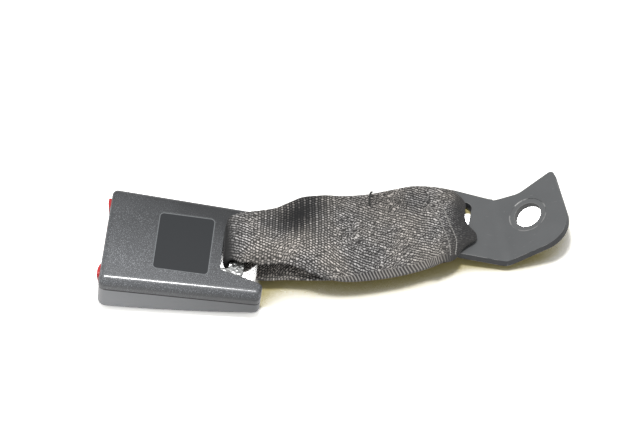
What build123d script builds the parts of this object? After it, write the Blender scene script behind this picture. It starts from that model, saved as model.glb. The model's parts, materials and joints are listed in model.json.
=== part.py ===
from build123d import *
import math
import os

# Seat belt buckle on a short webbing strap with its anchor plate. Millimetres.
# The buckle lies on its front cover. Its own frame has x from the button end to the strap
# end, y across, and z up from the parting plane of the two covers towards the back face.

# ---- buckle: covers
cover_length = 70.5
cover_side_room = 2.4
cover_taper = 2.5
back_height = 6.6
crown_radius = 620.0
side_radius = 4.0
front_end_radius = 2.4
rear_end_radius = 2.6
cover_wall = 2.0
parting_gap = 0.35
lip_wall = 0.9
lip_height = 1.3
lip_gap = 0.1
belly_front = 15.5
belly_middle = 14.0
belly_middle_at = 33.0
belly_rear = 9.0
label_start = 22.0
label_length = 24.6
label_width = 29.4
label_radius = 2.0
label_depth = 0.45
notch_start = 51.2
notch_half_inner = 11.0
notch_half_mouth = 15.8
notch_radius = 1.6
notch_wall = 1.8
snap_stations = (21.0, 31.0)
snap_width = 6.0
snap_wall = 1.3
snap_ledge = 1.0
snap_reach = 3.2

# ---- buckle: steel frame
steel = 2.5
frame_start = 8.0
frame_under = 1.7
frame_half = 16.5
frame_flange_inset = 2.0
frame_corner = 1.5
tail_corner = 3.0
side_wall_start = 16.8
side_wall_end = 44.0
side_wall_depth = 9.8
tail_start = 49.0
tail_half = 9.8
tail_half_end = 12.0
tail_end = 61.5
bar_width = 6.5
strap_slot_width = 4.8
strap_slot_half = 8.6
frame_gap = 0.6
spring_slot_start = 26.0
spring_slot_end = 46.5
spring_slot_half = 2.9

# ---- buckle: tongue mouth and channel
mouth_start = 0.9
mouth_length = 9.0
mouth_half = 13.2
mouth_top = 2.6
mouth_floor = -3.1
channel_floor = -1.75
guide_wall = 1.1
fit_gap = 0.15
slide_gap = 0.3

# ---- buckle: button and release slider
horn_overhang = 4.1
button_half = frame_half + horn_overhang
cover_half_front = button_half + cover_side_room + cover_wall
horn_reach = 1.15
button_lean = 2.4
button_depth = 11.0
button_wall = 1.8
button_floor = -12.0
button_dip = 3.2
button_dip_radius = 46.0
button_travel = 5.0
arm_end = 34.5
arm_top = 1.7
arm_floor = -8.4
ramp_end = 19.3
yoke_start = 5.0
yoke_length = 4.3
yoke_height = 3.6

# ---- buckle: latch
pivot_at = 40.0
pivot_height = -4.5
pin_radius = 2.0
pin_clearance = 0.05
pin_head_radius = 2.6
pin_head = 0.9
clip_wall = 0.6
latch_steel = 2.3
latch_top = -1.9
latch_start = 17.6
latch_half = 9.0
latch_lug_wall = 2.2
hook_start = 18.3
hook_length = 2.8
hook_half = 5.0
hook_top = 2.5
ear_at = 26.0
ear_radius = 1.15
ear_overhang = 2.5
ear_gap = 0.12
latch_open = 13.0
cross_front = 7.5
cross_back = 3.6
boss_radius = 2.7

# ---- buckle: ejector and springs
ejector_start = 13.2
ejector_back = 29.0
ejector_bridge = 4.5
prong_inner = 5.6
prong_outer = 11.5
spring_block_start = 44.4
spring_block_end = 49.0
ejector_height = 1.5
spring_line = 1.9
peg_radius = 1.2
peg_length = 2.2
ejector_spring_radius = 1.75
ejector_wire = 0.5
ejector_turns = 8
button_spring_radius = 1.6
button_wire = 0.5
button_turns = 7
button_seat_at = 47.0
button_spring_side = frame_half + 2.25
pad_start = 30.0
pad_end = 42.0
spring_foot = 1.8
torsion_wire = 0.8
torsion_turns = 4
torsion_lead = 17.0
torsion_front_leg = 8.4
torsion_rear_leg = 4.1

# ---- strap
web = 1.25
loop_width = 13.7
loop_middle = 1.4
loop_room = 2.9
loop_wall = 2.0
loop_centre = 57.25
loop_meet = 71.0
stitch_height = 0.25
stitch_rows = (-27.5, -24.3)
stitch_count = 9
stitch_start = -14.0
stitch_pitch = 2.75
stitch_length = 1.7
stitch_width = 0.8
# Cross-sections along the strap: near edge, far edge, rise of the middle, thickness.
upper_rows = (
    ((54.4, -4.8, 18.25), (54.2, 10.9, 20.8), 1.0, 2.4),
    ((64.5, -6.8, 17.3), (63.6, 19.0, 19.9), 1.6, 2.5),
    ((74.0, -6.6, 16.2), (72.6, 22.6, 18.9), 2.0, 2.5),
    ((87.5, -6.9, 14.0), (83.6, 30.6, 17.2), 2.2, 2.6),
    ((100.0, -7.4, 10.4), (96.0, 33.6, 15.4), 2.0, 3.4),
    ((114.0, -4.4, 8.6), (110.0, 36.6, 13.2), 1.4, 3.9),
    ((129.5, 1.0, 8.0), (124.5, 42.2, 11.4), 1.0, 3.9),
    ((141.0, 7.6, 8.0), (136.0, 45.6, 8.6), 0.6, 4.4))
lower_rows = (
    ((66.8, -7.0, 7.0), (67.4, 10.6, 8.0), 0.8, web),
    ((79.0, -5.8, 7.2), (77.0, 24.0, 10.4), 1.4, web),
    ((91.0, -5.4, 8.4), (88.0, 31.4, 13.0), 2.0, web),
    ((102.0, -6.4, 9.6), (98.0, 33.6, 14.2), 2.0, web))
# The top layer's outline over the plate's bar, in the strip's frame; its third corner is the tip.
fold_outline = (
    (-42, -26), (-27.5, -24.5), (-17.0, -16.8), (-10.6, -6.9), (-14.6, -1.0),
    (-17.9, 5.0), (-19.0, 10.8), (-22.1, 12.6), (-30.1, 14.0), (-38, 11))

# ---- anchor plate; the flat part has its top face at z 0 and the crease along y
plate_steel = 3.2
plate_skew = -19.5
plate_shift = -1.1
plate_slot_right = -14.2
plate_slot_width = 6.4
plate_slot_length = 25.0
plate_slot_radius = 3.1
plate_bar = 8.0
plate_bend = 31.0
plate_bend_radius = 10.0
bolt_hole_radius = 6.1
bolt_hole_at = (13.9, 2.6)
coin_radius = 8.5
coin_depth = 0.2
wrap_gap = 0.75
wrap_wall = 1.25
flat_outline = ((0.5, -18.4), (-33.3, -8.7), (-21.3, 25.6), (0.5, 17.3))
flat_corner = 5.0
tab_outline = ((-4.0, -18.5), (31.5, -16.3), (29.9, 21.5), (12.0, 15.6), (-4.0, 17.5))
tab_corner = 13.0
tab_tip = 2.0
tab_shoulder = 9.0

# ---- how the pieces lie on the ground
parting_height = 16.9
buckle_pitch = 5.0
crease_middle = (171.8, 31.2, 4.7)
crease_yaw = 13.3
crease_roll = -5.4
plate_pitch = 7.0


def half_at(x):
    """Half the width of the covers at x: the sides taper evenly."""
    return cover_half_front - cover_taper * x / cover_length


def plan(inset):
    """Outline of the covers seen from above, drawn in by inset."""
    x0, x1 = inset, cover_length - inset
    y0, y1 = half_at(x0) - inset, half_at(x1) - inset
    return make_face(Polyline((x0, -y0), (x1, -y1), (x1, y1), (x0, y0), close=True))


def box(x0, x1, y0, y1, z0, z1):
    """Block between two corners."""
    size = (x1 - x0, y1 - y0, z1 - z0)
    return Pos((x0 + x1) / 2, (y0 + y1) / 2, (z0 + z1) / 2) * Box(*size)


def both_sides(piece):
    """A piece and its mirror image across the middle plane."""
    return piece + mirror(piece, Plane.XZ)


def end_edges(form, x, flat_z):
    """Edges round one end face, without those on the flat parting side."""
    near = [e for e in form.edges() if abs(e.center().X - x) < 0.05]
    return [e for e in near if abs(e.center().Z - flat_z) > 0.05]


def belly_edges(form):
    """The two edges along the length on the belly's sides."""
    long = [e for e in form.edges() if e.length > cover_length / 2]
    return [e for e in long if e.center().Z < -belly_rear / 2 and abs(e.center().Y) > 5.0]


def back_section(x, inset):
    """Cross-section under the back face at x: crowned, with rounded corners."""
    half = half_at(x) - inset
    top = back_height - inset
    side = top - half ** 2 / (2 * crown_radius)
    crown = ThreePointArc((half, side), (0, top), (-half, side))
    walls = Polyline((-half, side), (-half, 0), (half, 0), (half, side))
    face = make_face(crown + walls)
    face = fillet(face.vertices().sort_by(Axis.Y)[-2:], side_radius - inset)
    return Plane.YZ.offset(x) * face


def back_form(inset):
    """Solid under the back face: tapered plan, crowned across, rounded all round."""
    ends = [back_section(x, inset) for x in (inset, cover_length - inset)]
    form = loft(ends, ruled=True)
    if inset == 0:
        form = fillet(end_edges(form, 0, 0), front_end_radius)
        form = fillet(end_edges(form, cover_length, 0), rear_end_radius)
    return form


def belly_profile(inset):
    """Side view of the front cover: a long shallow arc from end to end."""
    front = (inset - 5, -belly_front + inset - 0.7)
    middle = (belly_middle_at, -belly_middle + inset)
    rear = (cover_length - inset, -belly_rear + inset)
    arc = ThreePointArc(front, middle, rear)
    sides = Polyline(rear, (cover_length - inset, 0), (inset - 5, 0), front)
    return make_face(Plane.XZ * (arc + sides))


def front_form(inset):
    """Solid inside the front cover's outer faces, below the parting plane."""
    form = extrude(plan(inset), -2 * belly_front)
    form = form & extrude(belly_profile(inset), 2 * cover_half_front, both=True)
    form = fillet(belly_edges(form), side_radius - inset)
    if inset == 0:
        form = fillet(end_edges(form, 0, 0), 1.5 * front_end_radius)
        form = fillet(end_edges(form, cover_length, 0), rear_end_radius)
    return form


def notch_plan(outset):
    """Opening between the two ears at the strap end."""
    slope = (notch_half_mouth - notch_half_inner) / (cover_length - notch_start)
    x0 = notch_start - outset
    x1 = cover_length + 5
    y0 = notch_half_inner + outset - slope * outset
    y1 = notch_half_inner + outset + slope * (x1 - notch_start)
    face = make_face(Polyline((x0, -y0), (x1, -y1), (x1, y1), (x0, y0), close=True))
    corners = face.vertices().sort_by(Axis.X)[:2]
    return fillet(corners, notch_radius + outset)


def notch_rim(form, height):
    """Wall that follows the notch between the two faces of a cover."""
    return extrude(notch_plan(notch_wall), height) & form


def mouth_cut():
    """Opening for the button in the end walls of both covers."""
    half = button_half + slide_gap
    top = back_height - cover_wall
    return box(-3, cover_wall + 0.01, -half, half, button_floor - slide_gap, top)


def lip_ring(gap):
    """Step along the inner half of the wall, where one cover locates in the other."""
    outer = plan(cover_wall - lip_wall - gap)
    return outer - plan(cover_wall + gap)


def back_cover():
    """Upper shell: recessed panel, notch for the strap, locating lip and snap ledges."""
    form = back_form(0)
    shell = form - back_form(cover_wall)
    shell += notch_rim(form, back_height)
    lip = extrude(lip_ring(0), -lip_height)
    lip -= extrude(notch_plan(notch_wall), -2 * lip_height)
    shell += lip
    for x in snap_stations:
        wall = half_at(x) - cover_wall
        ledge = box(x - snap_width / 2, x + snap_width / 2, wall - snap_ledge, wall + 0.3, 0.8, 1.8)
        shell += both_sides(ledge)
    panel = RectangleRounded(label_length, label_width, label_radius)
    panel_at = Pos(label_start + label_length / 2, 0, back_height - label_depth)
    shell -= panel_at * extrude(panel, back_height)
    shell -= extrude(notch_plan(0), back_height * 2, both=True)
    tail = tail_half + frame_gap
    top = frame_under + steel + fit_gap
    shell -= box(notch_start - 2 * notch_wall, notch_start + 1, -tail, tail, -lip_height, top)
    return shell - mouth_cut()


def hook_inner(x):
    """Half the space between the two snap hooks at x."""
    return half_at(x) - cover_wall - snap_ledge - fit_gap - snap_wall


def spring_post(x0, x1):
    """Post that backs a button spring, on the near side."""
    y = -button_spring_side
    return box(x0, x1, y - 1.6, y + 1.6, -belly_middle, arm_top)


def front_cover():
    """Lower shell with its long curved belly, snap hooks and spring posts."""
    form = front_form(0)
    hollow = front_form(cover_wall)
    shell = form - hollow
    shell += notch_rim(form, -2 * belly_front)
    shell -= extrude(lip_ring(lip_gap), -lip_height - lip_gap)
    shell += both_sides(spring_post(button_seat_at, button_seat_at + 2.5)) & form
    for x in snap_stations:
        x0, x1 = x - snap_width / 2, x + snap_width / 2
        outer = hook_inner(x) + snap_wall
        hook = box(x0, x1, outer - snap_wall, outer, -7, snap_reach)
        hook += box(x0, x1, outer - 0.1, outer + 0.85, 2.0, snap_reach)
        hook += box(x0, x1, outer - snap_wall, outer + 2, -7, -lip_height - 1.2)
        barb = hook.edges().filter_by(Axis.X).sort_by(Axis.Z)[-2:].sort_by(Axis.Y)[-1]
        shell += both_sides(chamfer(barb, 0.7))
    shell -= extrude(notch_plan(0), -2 * belly_front)
    seam = box(-5, cover_length + 5, -cover_half_front - 5, cover_half_front + 5, -parting_gap, 1)
    hooks_only = box(0, cover_length, -cover_half_front, cover_half_front, -1, 9)
    upper = shell & hooks_only
    shell -= seam
    for x in snap_stations:
        inner = hook_inner(x) - 0.1
        zone = box(x - snap_width, x + snap_width, inner, inner + 2.4, -0.5, snap_reach + 0.1)
        shell += upper & both_sides(zone)
    return shell - mouth_cut()


def frame():
    """Stamped channel that carries the latch, with the strap's slot and bar in its tail."""
    y0 = frame_half - frame_flange_inset
    flat = Polyline(
        (frame_start, -y0), (side_wall_end + 1.5, -y0), (tail_start, -tail_half),
        (tail_end, -tail_half_end), (tail_end, tail_half_end), (tail_start, tail_half),
        (side_wall_end + 1.5, y0), (frame_start, y0), close=True)
    outline = make_face(flat)
    ends = outline.vertices().sort_by(Axis.X)
    outline = fillet(ends[-2:], tail_corner)
    outline = fillet(outline.vertices().sort_by(Axis.X)[:2], frame_corner)
    plate = Pos(0, 0, frame_under) * extrude(outline, steel)
    top = frame_under + steel
    channel = box(side_wall_start, side_wall_end, -frame_half, frame_half, -side_wall_depth, top)
    bends = channel.edges().filter_by(Axis.X).sort_by(Axis.Z)[-2:]
    channel = fillet(bends, steel)
    inner = frame_half - steel
    room = box(0, cover_length, -inner, inner, -side_wall_depth - 1, frame_under)
    body = plate + (channel - room)
    window = box(hook_start - 1.6, hook_start + hook_length + 0.8, -hook_half - 0.6,
                 hook_half + 0.6, 0, 2 * top)
    body -= window
    spring_slot = box(spring_slot_start, spring_slot_end, -spring_slot_half, spring_slot_half,
                      0, 2 * top)
    body -= fillet(spring_slot.edges().filter_by(Axis.Z), 0.5)
    slot_end = tail_end - bar_width
    strap_slot = box(slot_end - strap_slot_width, slot_end, -strap_slot_half,
                     strap_slot_half, 0, 2 * top)
    body -= fillet(strap_slot.edges().filter_by(Axis.Z), 1.2)
    ear_room = box(ear_at - 2.6, ear_at + 2.2, -frame_half - 1, frame_half + 1,
                   latch_top - latch_steel - 3.6, latch_top + 0.5)
    body -= ear_room
    return body - pivot_cylinder(pin_radius + pin_clearance, 2 * frame_half + 2)


def pivot_cylinder(radius, length):
    """Cylinder on the latch pivot's axis, across the frame."""
    return Pos(pivot_at, 0, pivot_height) * Rot(90, 0, 0) * Cylinder(radius, length)


def mouth_guide():
    """Plastic funnel that leads the tongue in under the frame's front edge."""
    half = mouth_half + guide_wall
    top = frame_under + steel
    end = mouth_start + mouth_length
    body = box(mouth_start, end, -half, half, mouth_floor - guide_wall, top)
    body -= box(frame_start - fit_gap, end + 1, -half - 1, half + 1, frame_under - fit_gap, top + 1)
    face = Plane.YZ.offset(mouth_start - 0.01)
    throat = Plane.YZ.offset(frame_start - fit_gap)
    entry_size = (2 * mouth_half, mouth_top - mouth_floor)
    throat_size = (2 * mouth_half - 1, frame_under - channel_floor)
    entry = face * (Pos(0, (mouth_top + mouth_floor) / 2) * Rectangle(*entry_size))
    inner = throat * (Pos(0, (frame_under + channel_floor) / 2) * Rectangle(*throat_size))
    body -= loft([entry, inner])
    half_throat = mouth_half - 0.5
    return body - box(frame_start - 1, end + 1, -half_throat, half_throat, channel_floor, top)


def press_button():
    """Red cap: two horns beside the tongue's mouth and a dip for the finger."""
    top = back_height - cover_wall - 0.65
    side = Plane.XZ * Polyline(
        (-horn_reach, top), (button_depth, top), (button_depth, button_floor),
        (button_lean - horn_reach, button_floor), close=True)
    cap = extrude(make_face(side), button_half, both=True)
    cap = fillet(cap.edges().filter_by(Axis.X), 1.8)
    dip_at = button_dip - horn_reach - button_dip_radius
    cap -= Pos(dip_at, 0, 0) * Cylinder(button_dip_radius, 6 * button_depth)
    slot_half = mouth_half + guide_wall + slide_gap
    slot_floor = mouth_floor - guide_wall - slide_gap
    cap -= box(-5, 2 * button_depth, -slot_half, slot_half, slot_floor, 2 * back_height)
    inner = button_half - button_wall
    yoke_top = arm_floor + yoke_height - 1.8 + fit_gap
    cap -= box(yoke_start - fit_gap, 2 * button_depth, -inner, inner,
               arm_floor - 1.8 - fit_gap, yoke_top)
    core = box(4, 2 * button_depth, slot_half + 1.6, inner, slot_floor + 0.6, top - 1.8)
    return cap - both_sides(core)


def ear_path():
    """Centre of a latch ear at rest and with the latch fully open."""
    x = ear_at - pivot_at
    z = latch_top - latch_steel / 2 - pivot_height
    turn = math.radians(latch_open)
    open_x = x * math.cos(turn) - z * math.sin(turn)
    open_z = x * math.sin(turn) + z * math.cos(turn)
    return (ear_at, pivot_height + z), (pivot_at + open_x, pivot_height + open_z)


def release_slider():
    """Yoke behind the button with two arms, whose ramps push the latch's ears down."""
    (rest_x, rest_z), (open_x, open_z) = ear_path()
    run = rest_x - (open_x - button_travel)
    drop = rest_z - open_z
    slope = drop / run
    reach = (ear_radius + ear_gap) * math.hypot(1, slope)
    flat = rest_z + ear_radius + ear_gap
    ramp_top = rest_x - (rest_z + reach - flat) / slope
    ramp_foot = rest_z + reach - slope * (rest_x - ramp_end)
    front = button_depth + fit_gap
    side = Plane.XZ * Polyline(
        (front, arm_top), (arm_end, arm_top), (arm_end, flat), (ramp_top, flat),
        (ramp_end, ramp_foot), (ramp_end, arm_floor), (front, arm_floor), close=True)
    inner = frame_half + slide_gap
    arm_width = hook_inner(snap_stations[-1]) - slide_gap - inner
    arm = Pos(0, -inner, 0) * extrude(make_face(side), arm_width, dir=(0, -1, 0))
    yoke_floor = arm_floor - 1.8
    yoke_top = yoke_floor + yoke_height
    outer = button_half - button_wall - fit_gap
    stub = box(yoke_start, front + 0.5, -outer, -inner, arm_floor, yoke_top)
    foot_end = arm_end + spring_foot
    foot = box(arm_end - 0.01, foot_end, -button_spring_side - 1.5, -inner, flat, arm_top)
    peg = Pos(foot_end, -button_spring_side, 0) * Rot(0, 90, 0)
    foot += peg * Cylinder(button_spring_radius - button_wire, 2)
    yoke = box(yoke_start, yoke_start + yoke_length, -outer, outer, yoke_floor, yoke_top)
    return yoke + both_sides(arm + stub + foot)


def latch():
    """Steel latch plate: hook at the front, two ears, and lugs on the pivot pin."""
    low = latch_top - latch_steel
    plate = box(latch_start, pivot_at - cross_back, -latch_half, latch_half, low, latch_top)
    plate = fillet(plate.edges().filter_by(Axis.Z).sort_by(Axis.X)[:2], 2.0)
    lug_outer = frame_half - steel - 0.6
    cross_start = pivot_at - cross_front
    cross = box(cross_start, pivot_at - cross_back, -lug_outer, lug_outer, low, latch_top)
    side = box(cross_start, pivot_at, lug_outer - latch_lug_wall, lug_outer,
               pivot_height - boss_radius, latch_top)
    boss = Pos(pivot_at, lug_outer - latch_lug_wall / 2, pivot_height) * Rot(90, 0, 0)
    lug = side + boss * Cylinder(boss_radius, latch_lug_wall)
    hook_end = hook_start + hook_length
    hook = Plane.XZ * Polyline(
        (hook_start, low + 0.5), (hook_end, low + 0.5), (hook_end, hook_top),
        (hook_end - 0.9, hook_top), (hook_start, latch_top + 1.3), close=True)
    ears = Pos(ear_at, 0, (low + latch_top) / 2) * Rot(90, 0, 0)
    body = plate + cross + both_sides(lug)
    body += extrude(make_face(hook), hook_half, both=True)
    body += ears * Cylinder(ear_radius, 2 * (frame_half + ear_overhang))
    return body - pivot_cylinder(pin_radius + pin_clearance, 2 * frame_half)


def latch_pin():
    """Headed pin through both frame walls, on which the latch turns."""
    shank = frame_half + clip_wall + 0.4
    pin = pivot_cylinder(pin_radius, 2 * shank)
    head_at = frame_half + 0.1 + pin_head / 2
    head = Pos(pivot_at, head_at, pivot_height) * Rot(90, 0, 0)
    return pin + head * Cylinder(pin_head_radius, pin_head)


def pin_clip():
    """Push-on washer that keeps the pin in the frame."""
    ring = Cylinder(pin_head_radius, clip_wall) - Cylinder(pin_radius + 0.02, 2)
    return Pos(pivot_at, -frame_half - 0.1 - clip_wall / 2, pivot_height) * Rot(90, 0, 0) * ring


def coil(radius, wire, turns, length):
    """Open coil along z from the origin, of round wire."""
    path = Helix(pitch=(length - wire) / turns, height=length - wire, radius=radius)
    start = Plane(origin=path @ 0, z_dir=path % 0)
    return Pos(0, 0, wire / 2) * sweep(start * Circle(wire / 2), path)


def latch_spring():
    """Torsion spring round the pivot pin: one leg under the latch, one on the spring block."""
    radius = pin_radius + 0.4 + torsion_wire / 2
    pitch = torsion_wire + 0.15
    height = pitch * (torsion_turns + torsion_lead / 360)
    place = Pos(pivot_at, height / 2, pivot_height) * Rot(90, 0, 0)
    helix = place * Rot(0, 0, -90 - torsion_lead) * Helix(pitch, height, radius)
    front = Edge.make_line(helix @ 0 - (helix % 0) * torsion_front_leg, helix @ 0)
    rear = Edge.make_line(helix @ 1, helix @ 1 + (helix % 1) * torsion_rear_leg)
    wire = Wire([front, helix.edge(), rear])
    return sweep(Plane(origin=wire @ 0, z_dir=wire % 0) * Circle(torsion_wire / 2), wire)


def ejector():
    """Forked slide in the tongue's channel, which pushes the tongue back out."""
    floor = latch_top + 0.3
    bridge_start = ejector_back - ejector_bridge
    body = box(bridge_start, ejector_back, -prong_outer, prong_outer, floor, ejector_height)
    prong = box(ejector_start, bridge_start + 1, prong_inner, prong_outer, floor, ejector_height)
    prong = fillet(prong.edges().filter_by(Axis.Z).sort_by(Axis.X)[:2], 1.2)
    body += both_sides(prong)
    key = spring_slot_half - slide_gap
    body += box(ejector_back - 2.4, ejector_back, -key, key, 0, frame_under + steel - slide_gap)
    peg = Pos(ejector_back + peg_length / 2, 0, spring_line) * Rot(0, 90, 0)
    return body + peg * Cylinder(peg_radius, peg_length)


def spring_block():
    """Plastic block at the back of the frame that both inner springs push against."""
    half = tail_half - 1
    top = frame_under - fit_gap
    body = box(spring_block_start, spring_block_end, -half, half, pivot_height - 2.1, top)
    key = spring_slot_half - slide_gap
    body += box(spring_block_start, spring_slot_end - fit_gap, -key, key, 0,
                frame_under + steel - slide_gap)
    peg = Pos(spring_block_start - peg_length / 2, 0, spring_line) * Rot(0, 90, 0)
    return body + peg * Cylinder(peg_radius, peg_length)


def ejector_spring():
    """Compression spring lying in the frame's slot."""
    length = spring_block_start - ejector_back - 2 * 0.1
    spring = coil(ejector_spring_radius, ejector_wire, ejector_turns, length)
    return Pos(ejector_back + 0.1, 0, spring_line) * Rot(0, 90, 0) * spring


def button_spring(side):
    """Compression spring from a slider arm to its post."""
    start = arm_end + spring_foot + 0.1
    length = button_seat_at - 0.1 - start
    spring = coil(button_spring_radius, button_wire, button_turns, length)
    return Pos(start, side * button_spring_side, 0) * Rot(0, 90, 0) * spring


def rattle_pad(side):
    """Foam strip under one frame wall, seated on the belly."""
    y0, y1 = sorted((side * (frame_half - steel), side * frame_half))
    pad = box(pad_start, pad_end, y0, y1, -belly_front, -side_wall_depth - 0.05)
    return pad & front_form(cover_wall + 0.02)


def plate_slab():
    """Strip of plate with its rounded bend, far wider than the part."""
    turn = math.radians(plate_bend)
    reach = 40.0
    along = (reach * math.cos(turn), reach * math.sin(turn))
    across = (plate_steel * math.sin(turn), -plate_steel * math.cos(turn))
    heel = plate_steel * math.tan(turn / 2)
    side = Plane.XZ * Polyline(
        (-reach, 0), (0, 0), along, (along[0] + across[0], along[1] + across[1]),
        (heel, -plate_steel), (-reach, -plate_steel), close=True)
    slab = extrude(make_face(side), reach, both=True)
    inner = slab.edges().filter_by(Axis.Y).sort_by_distance((0, 0, 0))[0]
    slab = fillet(inner, plate_bend_radius)
    outer = slab.edges().filter_by(Axis.Y).sort_by_distance((heel, 0, -plate_steel))[0]
    return fillet(outer, plate_bend_radius + plate_steel)


def strip_pose():
    """Frame of the skewed strip that holds the slot: x along the strap, y along the bar."""
    return Rot(0, 0, plate_skew) * Pos(0, plate_shift, 0)


def anchor_plate():
    """Bent steel plate with the strap's slot, the tab and its bolt hole."""
    slab = plate_slab()
    flat = make_face(Polyline(*flat_outline, close=True))
    flat = fillet(flat.vertices().sort_by(Axis.X)[:2], flat_corner)
    tab = make_face(Polyline(*tab_outline, close=True))
    for corner, radius in zip(tab_outline[1:4], (tab_corner, tab_tip, tab_shoulder)):
        tab = fillet(tab.vertices().sort_by_distance((*corner, 0))[0], radius)
    bisector = Rot(0, -plate_bend / 2, 0)
    left = bisector * box(-60, 0, -60, 60, -60, 60)
    right = bisector * box(0, 60, -60, 60, -60, 60)
    tilt = Rot(0, -plate_bend, 0)
    flat_part = slab & extrude(flat, 10, both=True) & left
    tab_part = slab & (tilt * extrude(tab, 12, both=True)) & right
    body = flat_part + tab_part
    slot_middle = plate_slot_right - plate_slot_width / 2
    slot = RectangleRounded(plate_slot_width, plate_slot_length, plate_slot_radius)
    body -= strip_pose() * Pos(slot_middle, 0, 0) * extrude(slot, 10, both=True)
    hole_pose = tilt * Pos(bolt_hole_at[0], bolt_hole_at[1], 0)
    body -= hole_pose * Cylinder(bolt_hole_radius, 20)
    coin = Pos(0, 0, coin_depth) * Cylinder(coin_radius, 4 * coin_depth)
    return body - hole_pose * coin


def buckle_pose():
    """The buckle lies on its curved front cover, a little lower at the strap end."""
    return Pos(0, 0, parting_height) * Rot(0, buckle_pitch, 0)


def plate_pose():
    """The plate rests on its far crease corner."""
    turn = Rot(0, 0, crease_yaw) * Rot(crease_roll, 0, 0) * Rot(0, plate_pitch, 0)
    return Pos(*crease_middle) * turn


def band_section(near, far, rise, thickness):
    """Bowed cross-section of the webbing between its two edges."""
    near, far = Vector(*near), Vector(*far)
    up = Vector(0, 0, 1)
    across = (far - near).normalized()
    normal = (up - across * up.dot(across)).normalized()
    middle = (near + far) * 0.5 + normal * rise
    half = normal * (thickness / 2)
    low = ThreePointArc(near - half, middle - half, far - half)
    high = ThreePointArc(near + half, middle + half, far + half)
    ends = (Line(near - half, near + half), Line(far - half, far + half))
    return make_face([low, ends[1], high, ends[0]])


def upper_band():
    """Two layers of webbing on top, spreading from the buckle's slot to full width."""
    return loft([band_section(*row) for row in upper_rows], ruled=True)


def lower_flap():
    """Single cut end of the webbing under the band."""
    return loft([band_section(*row) for row in lower_rows], ruled=True)


def buckle_loop():
    """Webbing round the frame's bar, in the buckle's own frame."""
    bar_height = frame_under + steel / 2
    outer_room = loop_room + loop_wall

    def drop(room, meet):
        top = (loop_centre, bar_height + room)
        low = (loop_centre, bar_height - room)
        back = (loop_centre - room, bar_height)
        wall = Plane.XZ * (ThreePointArc(top, back, low) + Polyline(
            low, (loop_centre + 6.0, bar_height - room), (meet, bar_height),
            (loop_centre + 6.0, bar_height + room), top))
        return extrude(make_face(wall), loop_width / 2, both=True)

    tube = drop(outer_room, loop_meet + 6) - drop(loop_room, loop_meet)
    return Pos(0, loop_middle, 0) * tube


def plate_wrap():
    """Webbing round the plate's bar, in the strip's frame, with the folded corner on top."""
    bar_right = plate_slot_right - plate_slot_width
    top = wrap_gap
    low = -plate_steel - wrap_gap
    right = bar_right + 0.45
    left = bar_right - plate_bar - 2.4
    half = plate_slot_length / 2 - 2.0
    outer = box(left, right + wrap_wall, -half, half, low - wrap_wall, top + wrap_wall)
    outer = fillet(outer.edges().filter_by(Axis.Y).sort_by(Axis.X)[-2:], wrap_gap + wrap_wall)
    side = Plane.XZ * Polyline(
        (left, low - wrap_wall), (left, top + wrap_wall), (left - 12, 0.2),
        (left - 12, -plate_steel - 0.2), close=True)
    outer += extrude(make_face(side), half, both=True)
    room = box(left, right, -40, 40, low, top)
    room = fillet(room.edges().filter_by(Axis.Y), wrap_gap)
    cover = make_face(Polyline(*fold_outline, close=True))
    cover = fillet(cover.vertices().sort_by(Axis.X)[-1], 2.0)
    layer = Pos(0, 0, top) * extrude(cover, wrap_wall)
    return (outer - room) + layer


def webbing_strap():
    """The strap between the two bars, as it lies."""
    end = plate_pose() * strip_pose() * plate_wrap()
    return upper_band() + lower_flap() + buckle_pose() * buckle_loop() + end


def strap_stitching():
    """Two rows of thread that close the loop round the plate, proud of the webbing."""
    stitches = []
    for row in stitch_rows:
        for step in range(stitch_count):
            place = Pos(row - 0.1 * step, stitch_start + stitch_pitch * step, wrap_gap + wrap_wall)
            half = stitch_width / 2
            stitches.append(place * box(-half, half, 0, stitch_length, 0, stitch_height))
    return plate_pose() * strip_pose() * Compound(stitches)


def parts_in_place():
    """Every piece where it lies, before the common shift to the ground's origin."""
    pose = buckle_pose()
    pieces = {
        "back_cover": pose * back_cover(),
        "front_cover": pose * front_cover(),
        "mouth_guide": pose * mouth_guide(),
        "press_button": pose * press_button(),
        "release_slider": pose * release_slider(),
        "button_spring_left": pose * button_spring(1),
        "button_spring_right": pose * button_spring(-1),
        "frame": pose * frame(),
        "latch": pose * latch(),
        "latch_pin": pose * latch_pin(),
        "latch_pin_clip": pose * pin_clip(),
        "latch_spring": pose * latch_spring(),
        "ejector": pose * ejector(),
        "ejector_spring": pose * ejector_spring(),
        "spring_block": pose * spring_block(),
        "rattle_pad_left": pose * rattle_pad(1),
        "rattle_pad_right": pose * rattle_pad(-1),
        "webbing_strap": webbing_strap(),
        "strap_stitching": strap_stitching(),
        "anchor_plate": plate_pose() * anchor_plate(),
    }
    box_all = Compound(list(pieces.values())).bounding_box()
    middle = box_all.center()
    ground = Pos(-middle.X, -middle.Y, -box_all.min.Z)
    return {name: ground * piece for name, piece in pieces.items()}


if __name__ == "__main__":
    os.makedirs("parts", exist_ok=True)
    for name, piece in parts_in_place().items():
        export_step(piece, f"parts/{name}.step")
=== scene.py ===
import json
import math

import bmesh
import bpy
import numpy as np
from mathutils import Matrix, Vector

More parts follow.
